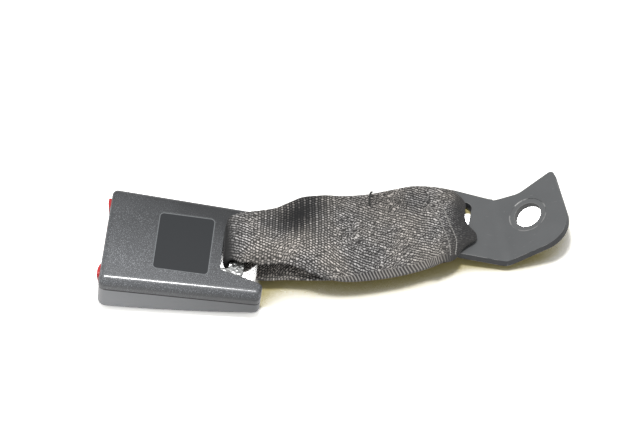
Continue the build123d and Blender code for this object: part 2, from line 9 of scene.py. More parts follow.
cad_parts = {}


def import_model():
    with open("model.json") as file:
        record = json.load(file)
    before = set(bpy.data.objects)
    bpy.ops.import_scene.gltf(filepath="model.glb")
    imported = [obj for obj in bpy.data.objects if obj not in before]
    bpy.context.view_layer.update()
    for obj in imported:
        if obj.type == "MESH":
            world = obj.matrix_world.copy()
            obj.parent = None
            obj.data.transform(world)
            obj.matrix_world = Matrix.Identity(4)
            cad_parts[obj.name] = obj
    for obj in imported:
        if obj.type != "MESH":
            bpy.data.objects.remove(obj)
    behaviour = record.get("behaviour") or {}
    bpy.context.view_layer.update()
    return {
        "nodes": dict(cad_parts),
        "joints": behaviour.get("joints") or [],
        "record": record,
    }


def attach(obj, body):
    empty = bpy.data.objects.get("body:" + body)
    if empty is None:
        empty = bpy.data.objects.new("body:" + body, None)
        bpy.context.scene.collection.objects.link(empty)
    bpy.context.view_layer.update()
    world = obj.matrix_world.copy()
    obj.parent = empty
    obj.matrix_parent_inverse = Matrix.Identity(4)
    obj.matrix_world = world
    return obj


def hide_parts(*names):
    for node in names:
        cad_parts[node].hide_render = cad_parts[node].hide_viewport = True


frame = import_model()

# Lengths are in millimetres and angles in degrees. The layout frame has its origin at the
# buckle's button end on the ground; place() brings its points to the row frame, in metres.
MM = 0.001
PARTING_HEIGHT = 16.9
BUCKLE_PITCH = 5.0
LOOP_AXIS = (57.25, 0.0, 2.95)
CREASE_MIDDLE = (171.8, 31.2, 4.7)
CREASE_YAW, CREASE_ROLL, PLATE_PITCH = 13.3, -5.4, 7.0
STRIP_SKEW, STRIP_SHIFT = -19.5, -1.1
WEB = 1.25
WEB_WIDTH = 47.0


# ---------------------------------------------------------------- frames

def turn(axis, degrees):
    """Rotation matrix about x, y or z, as the right-hand rule has it."""
    return np.array(Matrix.Rotation(math.radians(degrees), 3, axis))


def in_buckle(points):
    """Buckle-frame millimetres to layout millimetres: the pitch, then up to the parting."""
    return np.asarray(points, float) @ turn("Y", BUCKLE_PITCH).T + (0, 0, PARTING_HEIGHT)


def in_plate(points):
    """Plate-frame millimetres to layout millimetres: pitch, roll, yaw, then the crease's place."""
    turned = turn("Z", CREASE_YAW) @ turn("X", CREASE_ROLL) @ turn("Y", PLATE_PITCH)
    return np.asarray(points, float) @ turned.T + CREASE_MIDDLE


def in_strip(points):
    """Strip-frame millimetres (x along the strap, y along the plate's bar) to layout."""
    shifted = np.asarray(points, float) + (0, STRIP_SHIFT, 0)
    return in_plate(shifted @ turn("Z", STRIP_SKEW).T)


joints = {joint["name"]: joint for joint in frame["joints"]}
ORIGIN = np.array(joints["strap_swing"]["pos_m"]) - in_buckle(LOOP_AXIS) * MM


def place(points):
    """Layout millimetres to row-frame metres."""
    return np.asarray(points, float) * MM + ORIGIN


# ---------------------------------------------------------------- shader helpers

class Socket:
    """A node's output in an expression: each operator adds the Math node of its name."""

    def __init__(self, finish, output):
        self.finish, self.output = finish, output

    def math(self, operation, *values):
        return self.finish.math(operation, *values)

    def __add__(self, other):
        return self.math("ADD", self, other)

    def __sub__(self, other):
        return self.math("SUBTRACT", self, other)

    def __rsub__(self, other):
        return self.math("SUBTRACT", other, self)

    def __mul__(self, other):
        return self.math("MULTIPLY", self, other)

    def __truediv__(self, other):
        return self.math("DIVIDE", self, other)

    def __pow__(self, other):
        return self.math("POWER", self, other)

    __radd__, __rmul__ = __add__, __mul__

    def floor(self):
        return self.math("FLOOR", self)

    def fract(self):
        return self.math("FRACT", self)

    def abs(self):
        return self.math("ABSOLUTE", self)

    def clamp(self):
        return self.math("MINIMUM", self.math("MAXIMUM", self, 0.0), 1.0)

    def positive(self):
        return self.math("MAXIMUM", self, 0.0)

    def step(self, low, high):
        """0 below low and 1 above high, smooth between them; low may be the larger."""
        return self.finish.node(
            "ShaderNodeMapRange", {"interpolation_type": "SMOOTHSTEP", "clamp": True},
            {"Value": self, "From Min": low, "From Max": high})


class Finish:
    """One material: a Principled BSDF and the nodes that feed it."""

    def __init__(self, name, **constants):
        self.material = bpy.data.materials.new(name)
        self.material.use_nodes = True
        self.tree = self.material.node_tree
        self.bsdf = self.tree.nodes["Principled BSDF"]
        self.set(self.bsdf, constants)

    def set(self, node, values):
        """Puts numbers on a node's sockets and links what is a Socket."""
        for key, value in values.items():
            socket = node.inputs[key.replace("_", " ") if isinstance(key, str) else key]
            if isinstance(value, Socket):
                self.tree.links.new(value.output, socket)
            elif socket.type == "RGBA" and len(value) == 3:
                socket.default_value = (*value, 1.0)
            else:
                socket.default_value = value

    def node(self, kind, settings=(), values=(), output=0):
        """A node of this kind: settings first, then values or links; returns one output."""
        node = self.tree.nodes.new(kind)
        for key, value in dict(settings).items():
            setattr(node, key, value)
        self.set(node, dict(values))
        return Socket(self, node.outputs[output])

    def math(self, operation, *values):
        """A Math node; each value is a number or a Socket."""
        return self.node("ShaderNodeMath", {"operation": operation}, dict(enumerate(values)))

    def vector_math(self, operation, *vectors, output=0):
        """A Vector Math node; each vector is three numbers or a Socket."""
        return self.node(
            "ShaderNodeVectorMath", {"operation": operation}, dict(enumerate(vectors)), output)

    def feed(self, **sockets):
        """Links Sockets to the BSDF's inputs."""
        self.set(self.bsdf, sockets)
        return self.material

    def place(self):
        return self.node("ShaderNodeTexCoord", output="Object")

    def local(self, origin, rotation):
        """Object coordinates measured in a turned and shifted frame."""
        return self.node(
            "ShaderNodeMapping", {"vector_type": "TEXTURE"},
            {"Vector": self.place(), "Location": tuple(origin), "Rotation": tuple(rotation)})

    def split(self, vector):
        """The three numbers of a vector."""
        return [self.node("ShaderNodeSeparateXYZ", values={0: vector}, output=i) for i in range(3)]

    def join(self, x, y, z):
        return self.node("ShaderNodeCombineXYZ", values={0: x, 1: y, 2: z})

    def noise(self, vector, scale, detail=2.0, roughness=0.5):
        return self.node("ShaderNodeTexNoise", values={
            "Vector": vector, "Scale": scale, "Detail": detail, "Roughness": roughness})

    def cells(self, vector, scale):
        """Distance to the nearest of scattered points."""
        return self.node(
            "ShaderNodeTexVoronoi", values={"Vector": vector, "Scale": scale}, output="Distance")

    def mix(self, factor, low, high):
        """Colour between low and high by a number."""
        return self.node(
            "ShaderNodeMix", {"data_type": "RGBA"}, {"Factor": factor, 6: low, 7: high}, output=2)

    def bump(self, height, distance, strength=1.0, normal=None):
        values = {"Height": height, "Distance": distance, "Strength": strength}
        if normal is not None:
            values["Normal"] = normal
        return self.node("ShaderNodeBump", values=values)

    def normal(self):
        return self.node("ShaderNodeNewGeometry", output="Normal")

    def soft_edges(self, radius):
        """Normal as if sharp edges were rounded by this radius."""
        return self.node("ShaderNodeBevel", {"samples": 6}, {"Radius": radius})

    def edges(self, radius):
        """1 on the sharp edges, 0 on flats: how far the rounded normal leans from the real one."""
        agreement = self.vector_math(
            "DOT_PRODUCT", self.soft_edges(radius), self.normal(), output="Value")
        return (1.0 - agreement).step(0.02, 0.25)


# ---------------------------------------------------------------- finishes

# The buckle's frame has x along it from the button end and z up from where the covers meet.
BUCKLE_ORIGIN = place((0, 0, PARTING_HEIGHT))
BUCKLE_TURN = (0.0, math.radians(BUCKLE_PITCH), 0.0)
PANEL_FROM, PANEL_TO, PANEL_HALF_WIDTH, PANEL_CORNER = 22.3, 46.3, 14.4, 1.8
COVER_HALF_WIDTH = 25.0
COVER_TAPER = 28.0  # each side comes in by one in this length
SEAM_COLOUR = (0.008, 0.008, 0.009)


def seam(height):
    """1 within half a millimetre of the plane where the covers meet."""
    return height.abs().step(0.6 * MM, 0.4 * MM)


def from_panel(x, y):
    """Distance from a rectangle that is the panel less its corner radius, 0 inside it."""
    middle, half = (PANEL_FROM + PANEL_TO) / 2, (PANEL_TO - PANEL_FROM) / 2
    over_x = (x - middle * MM).abs() - (half - PANEL_CORNER) * MM
    over_y = y.abs() - (PANEL_HALF_WIDTH - PANEL_CORNER) * MM
    return (over_x.positive() ** 2.0 + over_y.positive() ** 2.0) ** 0.5


def back_cover_plastic():
    """Dark blue-grey plastic with a fine sparkling grain and a smooth recessed panel.

    It is painted paler towards the button end and the near side, painted light over a random
    clouding, with a painted highlight on the top just inside the near edge. Its walls carry
    painted shade, and a thin painted highlight runs round the panel's rim.
    """
    f = Finish("back_cover_plastic", Coat_Roughness=0.14)
    here = f.local(BUCKLE_ORIGIN, BUCKLE_TURN)
    x, y, z = f.split(here)
    outside = from_panel(x, y)
    corner = PANEL_CORNER * MM
    panel = outside.step(corner, corner - 0.25 * MM) * z.step(5.6 * MM, 5.9 * MM)
    # A thin painted highlight round the panel's rim.
    painted_rim_highlight = (outside.step(corner - 0.2 * MM, corner)
            * outside.step(corner + 0.5 * MM, corner + 0.2 * MM) * z.step(4.0 * MM, 4.5 * MM))
    # A painted highlight on the top just inside the near edge.
    inset = COVER_HALF_WIDTH * MM - x / COVER_TAPER + y
    painted_edge_highlight = (inset.step(4.4 * MM, 2.0 * MM) * inset.step(0.4 * MM, 1.4 * MM)
              * z.step(5.8 * MM, 6.2 * MM))
    grain = f.noise(here, 2300.0, 2.0, 0.65)
    flecks = f.noise(here, 3000.0, 1.0).step(0.55, 0.72) * (1.0 - panel)
    cloud = f.noise(here, 45.0, 3.0)
    # Paler towards the button end and the near side, darker on the walls: painted light and shade
    # over a random clouding.
    painted_wall_shade = z.step(5.2 * MM, 3.0 * MM)
    cloud_and_painted_light = (0.4 * cloud + 0.43 - y / (52.0 * MM) - x / (170.0 * MM) - 0.7 * painted_wall_shade).clamp()
    colour = f.mix(cloud_and_painted_light, (0.022, 0.024, 0.027), (0.125, 0.131, 0.14))
    colour = f.mix(painted_edge_highlight * 0.55, colour, (0.33, 0.34, 0.36))
    # The sparkle flecks show more where that painted light is paler.
    colour = f.mix(flecks * (0.08 + 0.9 * cloud_and_painted_light), colour, (0.5, 0.52, 0.55))
    colour = f.mix(panel, colour, (0.02, 0.023, 0.027))
    colour = f.mix(painted_rim_highlight * 0.45, colour, (0.4, 0.42, 0.44))
    colour = f.mix(seam(z), colour, SEAM_COLOUR)
    return f.feed(
        Base_Color=colour, Roughness=0.36 + 0.06 * panel + 0.12 * grain,
        Coat_Weight=1.0 - panel,
        Normal=f.bump(grain * (1.0 - panel * 0.85), 0.00015, 0.4, f.soft_edges(0.0004)))


def front_cover_plastic():
    """Satin grey plastic with a softer grain and a painted reflection, paler to the button end and
    bottom.
    """
    f = Finish("front_cover_plastic", Coat_Weight=0.6, Coat_Roughness=0.2)
    here = f.local(BUCKLE_ORIGIN, BUCKLE_TURN)
    grain = f.noise(here, 1500.0, 2.0, 0.6)
    cloud = f.noise(here, 45.0, 3.0)
    x, _, z = f.split(here)
    # Paler towards the button end and the bottom: painted reflection over a random clouding.
    cloud_and_painted_reflection = (0.2 * cloud + 0.9 - x / (75.0 * MM) - z / (75.0 * MM)).clamp()
    colour = f.mix(cloud_and_painted_reflection, (0.1, 0.104, 0.11), (0.33, 0.337, 0.35))
    colour = f.mix(seam(z), colour, SEAM_COLOUR)
    return f.feed(
        Base_Color=colour, Roughness=0.3 + 0.14 * grain,
        Normal=f.bump(grain, 0.0001, 0.35, f.soft_edges(0.0004)))


def plain_plastic(name, colour, roughness, grain_depth):
    """Moulded plastic of one colour with a light grain and slight clouding."""
    f = Finish(name)
    here = f.place()
    grain = f.noise(here, 1400.0, 2.0)
    cloud = f.noise(here, 80.0, 2.0)
    paler = tuple(min(1.0, c * 1.35 + 0.01) for c in colour)
    return f.feed(
        Base_Color=f.mix(cloud, colour, paler), Roughness=roughness + 0.12 * grain,
        Normal=f.bump(grain, grain_depth, 0.4, f.soft_edges(0.0004)))


def bright_steel(name, colour, roughness, streaks, dents=0.0):
    """Steel with fine drawn lines along x, and shallow dents where they are asked for."""
    f = Finish(name, Metallic=1.0)
    here = f.place()
    x, y, z = f.split(here)
    lines = f.noise(f.join(x * streaks, y, z), 900.0, 3.0, 0.7)
    stain = f.noise(here, 160.0, 3.0)
    darker = tuple(c * 0.45 for c in colour)
    normal = f.soft_edges(0.0003)
    if dents:
        normal = f.bump(f.noise(here, 420.0, 2.0), dents, 0.8, normal)
    return f.feed(
        Base_Color=f.mix((stain * 0.6 + lines * 0.6).clamp(), darker, colour),
        Roughness=roughness + 0.22 * lines,
        Normal=f.bump(lines, 0.00005, 0.4, normal))


def foam():
    """Open-cell foam: dark, with a pitted surface and painted shade in the middle of each pit."""
    f = Finish("foam", Roughness=0.95)
    pits_and_pit_shade = f.cells(f.place(), 1600.0)
    # The colour is darker in the middle of each pit: painted shade.
    return f.feed(
        Base_Color=f.mix(pits_and_pit_shade, (0.01, 0.01, 0.011), (0.05, 0.05, 0.052)),
        Normal=f.bump(pits_and_pit_shade, 0.0003, 0.8))


FLECK_ALONG, FLECK_ACROSS = 1.32, 1.3
RIB_PITCH = 1.4


def woven_flecks(f, uv, along, across, columns):
    """How bright the weave is at a place: one slanted fleck to each staggered cell.

    A cell is floor(u) by floor(v), with every second column half a cell on. In it a fleck fades
    with the root of p a^2 + q (b + slant a)^2, and a random number of the cell gives its
    strength. Noise strews the cells and turns the flecks except where there are columns: there
    they stand in line, and every second column of them sinks.
    """
    loose = (f.noise(uv, 560.0, 1.0) - 0.5) * (1.0 - columns)
    u = along / (FLECK_ALONG * MM) + f.noise(uv, 230.0, 2.0) * 0.9 + loose * 2.2
    v = across / (FLECK_ACROSS * MM) + f.noise(uv, 190.0, 2.0) * 0.9 - loose * 1.8
    column = u.floor()
    odd = (column * 0.5).fract() * 2.0
    staggered = v + odd * 0.5
    a = u.fract() - 0.5
    b = staggered.fract() - 0.5
    slanted = b + a * ((f.noise(uv, 60.0, 1.0) - 0.5) * 2.4 * (1.0 - columns))
    near = 1.0 - (a * a * (3.2 + 2.3 * columns) + slanted * slanted * (9.0 - 3.0 * columns)) ** 0.5
    chance = f.node(
        "ShaderNodeTexWhiteNoise", {"noise_dimensions": "2D"},
        {"Vector": f.join(column, staggered.floor(), 0.0)})
    return near.step(-0.1, 0.55) * (0.3 + 0.7 * chance) * (1.0 - 0.7 * odd * columns)


def webbing():
    """Herringbone webbing: pale slanted flecks on a dark ground.

    The pattern follows the cloth's own coordinates. On the selvedge the flecks give way to
    slanted ribs; where the cloth bends tightly it is painted dark and smooth, painted shade; a
    painted brightness makes it paler or darker from place to place, painted light and shade.
    """
    f = Finish("webbing", Specular_IOR_Level=0.3, Sheen_Weight=0.15, Sheen_Roughness=0.4)
    uv = f.node("ShaderNodeUVMap", {"uv_map": "cloth"})
    edge, bend_shade, columns, tone = (
        f.node("ShaderNodeAttribute", {"attribute_name": name}, output="Fac")
        for name in ("edge", "bend_shade", "columns", "tone"))
    along, across, _ = f.split(uv)
    flecks = woven_flecks(f, uv, along, across, columns)
    ribs = ((along / (RIB_PITCH * MM) + edge * 0.3).fract() - 0.5).abs().step(0.18, 0.46)
    selvedge = edge.step(4.2, 3.2)
    # The flecks fade into the painted shade at the bends and follow the painted brightness.
    yarn = (flecks * (1.0 - selvedge) + ribs * selvedge * 0.42) * (1.0 - bend_shade) * tone
    shade = f.noise(uv, 42.0, 2.0).step(0.35, 0.65)
    ground = f.mix(shade, (0.045, 0.044, 0.044), (0.085, 0.08, 0.074))
    # The ground of the weave is darker where the painted brightness is low: painted shade.
    ground = f.mix((tone * 1.7 - 0.7).clamp(), (0.016, 0.016, 0.017), ground)
    pale = f.mix(shade, (0.74, 0.72, 0.71), (0.84, 0.78, 0.72))
    # Dark at the tight bends: painted shade.
    colour = f.mix(bend_shade * 0.85, f.mix(yarn, ground, pale), (0.032, 0.032, 0.033))
    return f.feed(
        Base_Color=colour, Roughness=0.75 - 0.25 * yarn,
        Normal=f.bump(yarn, 0.0004, 0.8))


def thread(name, dark, pale):
    """Twisted polyester thread between two colours."""
    f = Finish(name, Sheen_Weight=0.2)
    twist = f.noise(f.place(), 2600.0, 1.0)
    return f.feed(Base_Color=f.mix(twist, dark, pale), Roughness=0.6 + 0.2 * twist)


def plate_paint():
    """Dark satin paint, worn bright on the edges and round the bolt hole, with scratches.

    The distance from the hole's axis is the length of the offset's cross product with it. The
    plate's upright faces are painted darker: painted shade.
    """
    f = Finish("plate_paint", Specular_IOR_Level=0.5)
    mount = next(m for m in frame["record"]["mounts"] if m["name"] == "anchor_bolt_hole")
    here = f.place()
    offset = f.vector_math("SUBTRACT", here, tuple(mount["pos_m"]))
    beside = f.vector_math("CROSS_PRODUCT", offset, tuple(mount["axis"]))
    radius = f.vector_math("LENGTH", beside, output="Value")
    cloud = f.noise(here, 55.0, 4.0, 0.6)
    grit = f.noise(here, 900.0, 2.0)
    blotch = f.noise(here, 260.0, 3.0)
    rim = radius.step(8.1 * MM, 8.4 * MM) * radius.step(8.9 * MM, 8.6 * MM)
    bore = radius.step(6.6 * MM, 6.2 * MM)
    ring = radius.step(8.8 * MM, 8.3 * MM) * (1.0 - bore)
    worn = (f.edges(0.0005) * blotch.step(0.4, 0.6) + rim * blotch.step(0.46, 0.62) * 0.7).clamp()
    x, y, z = f.split(here)
    scratch = f.noise(f.join(x * 0.15 + y * 0.1, y, z), 700.0, 2.0).step(0.68, 0.74)
    paint = f.mix(cloud, (0.115, 0.12, 0.123), (0.16, 0.165, 0.168))
    # The upright faces are painted darker: painted shade.
    painted_upright_shade = f.split(f.normal())[2].abs().step(0.6, 0.3)
    paint = f.mix(painted_upright_shade, paint, (0.045, 0.047, 0.05))
    paint = f.mix(scratch * 0.3 + ring * 0.3 * blotch, paint, (0.24, 0.24, 0.24))
    colour = f.mix(worn, paint, (0.5, 0.5, 0.49))
    colour = f.mix(bore * 0.6, colour, (0.26, 0.26, 0.255))
    return f.feed(
        Base_Color=colour, Roughness=0.4 + 0.2 * grit, Metallic=worn * 0.7,
        Normal=f.bump(grit + 0.5 * blotch, 0.00006, 0.5, f.soft_edges(0.0005)))


FINISHES = {
    "back_cover_plastic": back_cover_plastic(),
    "front_cover_plastic": front_cover_plastic(),
    "inner_plastic": plain_plastic("inner_plastic", (0.012, 0.012, 0.013), 0.45, 0.00008),
    "button_plastic": plain_plastic("button_plastic", (0.6, 0.03, 0.034), 0.3, 0.00005),
    "spring_steel": bright_steel("spring_steel", (0.5, 0.5, 0.5), 0.25, 0.1),
    "zinc_plated_steel": bright_steel("zinc_plated_steel", (0.78, 0.79, 0.78), 0.16, 0.12, 0.0009),
    "pin_steel": bright_steel("pin_steel", (0.55, 0.54, 0.52), 0.25, 0.2),
    "foam": foam(),
    "webbing": webbing(),
    "thread": thread("thread", (0.16, 0.155, 0.15), (0.6, 0.58, 0.55)),
    "loose_thread": thread("loose_thread", (0.015, 0.015, 0.014), (0.05, 0.05, 0.045)),
    "plate_paint": plate_paint(),
}

for subpart in frame["record"]["subparts"]:
    node = frame["nodes"][subpart["node"]]
    node.data.materials.clear()
    node.data.materials.append(FINISHES[subpart["material_slot"]])


# ---------------------------------------------------------------- webbing

def spline(knots, steps):
    """Points of a cardinal spline through the knots (first axis), steps to a span.

    Each span is the cubic with end slopes of half the neighbours' difference.
    """
    knots = np.asarray(knots, float)
    padded = np.concatenate([2 * knots[:1] - knots[1:2], knots, 2 * knots[-1:] - knots[-2:-1]])
    a, b, c, d = (padded[i:len(knots) - 1 + i, None] for i in range(4))
    t = np.linspace(0, 1, steps, endpoint=False).reshape((1, -1) + (1,) * (knots.ndim - 1))
    curve = 0.5 * (2 * b + (c - a) * t + (2 * a - 5 * b + 4 * c - d) * t**2
                   + (3 * b - a - 3 * c + d) * t**3)
    return np.concatenate([curve.reshape((-1,) + knots.shape[1:]), knots[-1:]])


def unit(vectors):
    return vectors / np.linalg.norm(vectors, axis=-1, keepdims=True)


def smooth(value, low, high):
    """0 below low and 1 above high, with the cubic 3 t^2 - 2 t^3 between; low may be larger."""
    t = np.clip((value - low) / (high - low), 0, 1)
    return t * t * (3 - 2 * t)


def grid_quads(rows, columns):
    """Corner numbers of the quads between the points of a grid."""
    index = np.arange(rows * columns).reshape(rows, columns)
    quads = np.stack([index[:-1, :-1], index[:-1, 1:], index[1:, 1:], index[1:, :-1]], -1)
    return quads.reshape(-1, 4)


def grid_piece(name, *grids):
    """One smooth mesh of grids of points (rows, columns, 3), with quads between them."""
    points = np.concatenate([grid.reshape(-1, 3) for grid in grids])
    starts = np.cumsum([0] + [grid.shape[0] * grid.shape[1] for grid in grids])
    quads = [start + grid_quads(*grid.shape[:2]) for start, grid in zip(starts, grids)]
    mesh = bpy.data.meshes.new(name)
    mesh.from_pydata(points.tolist(), [], np.concatenate(quads).tolist())
    mesh.polygons.foreach_set("use_smooth", np.ones(len(mesh.polygons), bool))
    piece = bpy.data.objects.new(name, mesh)
    bpy.context.scene.collection.objects.link(piece)
    return piece


def weld(piece):
    """Merges the points that lie in one place: seams round tubes, and the poles at their ends."""
    shell = bmesh.new()
    shell.from_mesh(piece.data)
    bmesh.ops.remove_doubles(shell, verts=shell.verts, dist=0.001 * MM)
    shell.to_mesh(piece.data)
    shell.free()


def cloth_map(piece, uv):
    """The UV map that the weave follows, from two lengths for each vertex."""
    corners = np.empty(len(piece.data.loops), np.int32)
    piece.data.loops.foreach_get("vertex_index", corners)
    layer = piece.data.uv_layers.new(name="cloth")
    layer.data.foreach_set("uv", uv.reshape(-1, 2)[corners].ravel())


def attribute(piece, name, values):
    """A number on each vertex, for the material."""
    piece.data.attributes.new(name, "FLOAT", "POINT").data.foreach_set("value", values.ravel())


def dress(piece, slot, finish=None):
    """Gives a strap piece the finish named by finish, else by slot, and puts it on the strap's
    body.
    """
    piece.data.materials.append(FINISHES[finish or slot])
    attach(piece, "strap")


# Rows of the webbing in the order of its length. Each is: near edge, far edge, bow of the
# middle, share of the hidden width that is folded under, and the near edge's part of that.
# LOOP is in the buckle's frame, the two at the plate are in the strip's, the rest in the layout's.
INNER_END = [
    ((92.0, 3.0, 11.4), (89.0, 29.0, 14.2), -1.2, 0.0, 0.0),
    ((83.0, 3.0, 12.2), (80.6, 25.4, 14.6), -1.2, 0.0, 0.0),
    ((75.0, 2.0, 12.6), (73.6, 19.0, 14.8), -0.8, 0.0, 0.0),
    ((68.0, -1.0, 12.0), (67.6, 10.0, 13.0), -0.3, 0.0, 0.0),
]
LOOP = [
    ((61.5, -5.4, -1.6), (61.5, 8.0, -1.6), 0.0, 0.0, 0.4),
    ((57.0, -5.4, -1.7), (57.0, 8.0, -1.6), 0.0, 0.4, 0.4),
    ((53.8, -5.4, -0.4), (53.2, 8.0, -0.4), 0.0, 1.0, 0.4),
    ((52.9, -5.4, 1.6), (52.0, 8.0, 1.8), 0.0, 1.0, 0.4),
    ((52.8, -5.4, 3.6), (51.8, 8.2, 4.0), 0.0, 1.0, 0.4),
    ((53.1, -5.2, 5.2), (51.7, 9.6, 6.4), 0.0, 1.0, 0.4),
    ((54.0, -5.0, 6.5), (51.9, 12.0, 8.2), 0.2, 1.0, 0.4),
]
TOP = [
    ((57.0, -4.6, 19.2), (53.4, 14.6, 21.2), 0.9, 1.0, 0.4),
    ((60.6, -5.2, 18.6), (58.4, 17.6, 21.0), 1.2, 1.0, 0.2),
    ((66.0, -5.8, 18.0), (64.6, 19.6, 20.4), 1.6, 1.0, 0.04),
    ((74.0, -4.7, 17.0), (72.6, 22.6, 19.6), 2.0, 1.0, 0.0),
    ((80.5, -3.6, 16.3), (78.6, 27.4, 18.8), 2.2, 1.0, 0.0),
    ((87.5, -5.0, 15.0), (84.4, 31.6, 18.0), 2.1, 1.0, 0.0),
    ((96.5, -7.0, 13.4), (93.0, 33.4, 17.0), 1.9, 1.0, 0.0),
    ((105.0, -7.0, 11.4), (101.0, 34.0, 16.0), 1.6, 1.0, 0.0),
    ((116.0, -4.8, 10.6), (112.0, 37.0, 14.6), 1.2, 1.0, 0.0),
    ((129.5, -0.6, 10.0), (124.5, 42.4, 13.0), 1.0, 1.0, 0.0),
    ((141.0, 4.4, 9.8), (134.0, 46.2, 11.4), 1.0, 1.0, 0.0),
]
PLATE_TOP = [
    ((-23.4, -28.0, 2.2), (-26.6, 15.0, 2.7), 1.4, 1.0, 0.0),
    ((-18.6, -24.0, 1.8), (-21.6, 13.4, 2.4), 1.2, 1.0, 0.2),
    ((-15.8, -19.0, 1.6), (-18.6, 11.2, 2.0), 0.6, 0.8, 0.3),
]
PLATE_TURN = [
    ((-16.4, -15.0, 0.6), (-17.8, 10.6, 0.4), 0.0, 0.5, 0.5),
    ((-18.0, -11.2, -1.6), (-18.2, 10.4, -1.6), 0.0, 0.3, 0.5),
    ((-19.4, -10.4, -3.8), (-19.4, 10.4, -3.8), 0.0, 0.0, 0.5),
    ((-22.5, -10.4, -4.55), (-22.5, 10.4, -4.55), 0.0, 0.0, 0.5),
    ((-30.0, -14.0, -4.4), (-31.0, 12.0, -4.4), 0.0, 0.0, 0.5),
]
LOWER = [
    ((140.0, 9.6, 5.4), (136.0, 45.0, 5.6), -0.6, 0.0, 0.0),
    ((129.0, 4.0, 6.4), (124.5, 41.4, 8.6), -1.0, 0.0, 0.0),
    ((114.0, -1.4, 7.0), (110.0, 36.0, 10.8), -1.4, 0.0, 0.0),
    ((102.0, -4.0, 7.6), (98.0, 33.0, 11.8), -1.8, 0.0, 0.0),
    ((91.0, -5.4, 7.8), (88.0, 30.8, 11.4), -1.9, 0.0, 0.0),
    ((79.0, -5.9, 7.1), (77.0, 23.8, 9.4), -1.4, 0.0, 0.0),
    ((71.5, -6.8, 6.8), (71.2, 14.4, 8.0), -1.0, 0.0, 0.0),
    ((66.8, -7.0, 6.9), (67.2, 10.4, 7.7), -0.8, 0.0, 0.0),
]
# Steps of the dense surface to a row and to a column of the net, and the net's columns between
# the two edges. An edge is folded under by this depth, and by this much of the width at most.
ROW_STEPS = 7
COLUMN_STEPS = 5
MIDDLE_COLUMNS = 9
FOLD_DEPTH = 1.5
FOLD_MOST = 9.0
# The loose fold that stands out past the plate's slot: how far, the column of its peak, its
# width in columns, and for each row from the slot its share and how much of it goes up.
FLAP_REACH, FLAP_COLUMN, FLAP_WIDTH = 6.3, 6.4, 1.85
FLAP_ROWS = [(0.4, 0.0), (1.0, 0.0), (0.92, 0.05), (0.1, 0.0)]


def in_frame_of(place_rows, rows):
    """The same rows, with both edges moved from another frame to the layout's."""
    return [(*place_rows([near, far]), *rest) for near, far, *rest in rows]


def edge_points(edge, inward, normal, length):
    """Four points from the cloth's edge to its flat part, on one side of each row.

    Flat cloth has them in a line, 2.4 mm from end to end; folded cloth has them on a hairpin
    that runs back under by the hidden length, one fold depth below. The share between the two
    grows over the first 3 mm of hidden length.
    """
    share = smooth(length, 0.0, 3.0)[:, None, None]
    length = length[:, None, None]
    flat = edge[:, None] + inward[:, None] * np.array([0.0, 0.7, 1.4, 2.4])[None, :, None]
    reach = np.array([1.0, 0.45, 0.0, 0.0])[None, :, None] * length + np.array(
        [0.5, 0.5, -0.1, 0.9])[None, :, None]
    depth = np.array([0.9, 1.0, 0.55, 0.0])[None, :, None] * FOLD_DEPTH
    folded = edge[:, None] + inward[:, None] * reach - normal[:, None] * depth
    return flat * (1 - share) + folded * share


def cloth_net():
    """Control points of the webbing, a row for each station and a column across.

    The flat part is near + t (far - near) plus the bow times 4 t (1 - t) along the outward
    normal; what is left of the webbing's width is folded under at the edges. At the plate
    a Gaussian bulge along the row makes the loose fold that stands out past the slot.
    """
    rows = (INNER_END + in_frame_of(in_buckle, LOOP) + TOP
            + in_frame_of(in_strip, PLATE_TOP + PLATE_TURN) + LOWER)
    near, far = (np.array([row[side] for row in rows], float) for side in (0, 1))
    bow, folded, near_part = (np.array([row[i] for row in rows], float) for i in (2, 3, 4))
    forward = np.gradient((near + far) / 2, axis=0)
    width = np.linalg.norm(far - near, axis=1)
    inward = (far - near) / width[:, None]
    normal = unit(np.cross(forward, inward))
    hidden = np.clip(WEB_WIDTH - width, 0, None) * folded
    near_edge = edge_points(near, inward, normal, np.minimum(hidden * near_part, FOLD_MOST))
    far_edge = edge_points(far, -inward, normal, np.minimum(hidden * (1 - near_part), FOLD_MOST))
    t = np.linspace(0.0, 1.0, MIDDLE_COLUMNS + 2)[None, 1:-1, None]
    middle = near[:, None] + (far - near)[:, None] * t
    middle += normal[:, None] * bow[:, None, None] * 4 * t * (1 - t)
    net = np.concatenate([near_edge, middle, far_edge[:, ::-1]], axis=1)
    columns = np.arange(net.shape[1])
    bulge = FLAP_REACH * np.exp(-((columns - FLAP_COLUMN) / FLAP_WIDTH) ** 2)[:, None]
    start, forth, above = in_strip([(0, 0, 0), (1, 0, 0), (0, 0, 1)])
    slot_row = len(INNER_END) + len(LOOP) + len(TOP) + 1
    for row, (share, lift) in enumerate(FLAP_ROWS, slot_row):
        net[row] += bulge * share * ((forth - start) + lift * (above - start))
    return net


def hill(points, centre, length, width, heading):
    """Gaussian of the distance from a centre, longer along its heading in degrees than across."""
    offset = points[..., :2] - centre
    angle = math.radians(heading)
    along = offset @ (math.cos(angle), math.sin(angle))
    across = offset @ (-math.sin(angle), math.cos(angle))
    return np.exp(-(along / length) ** 2 - (across / width) ** 2)


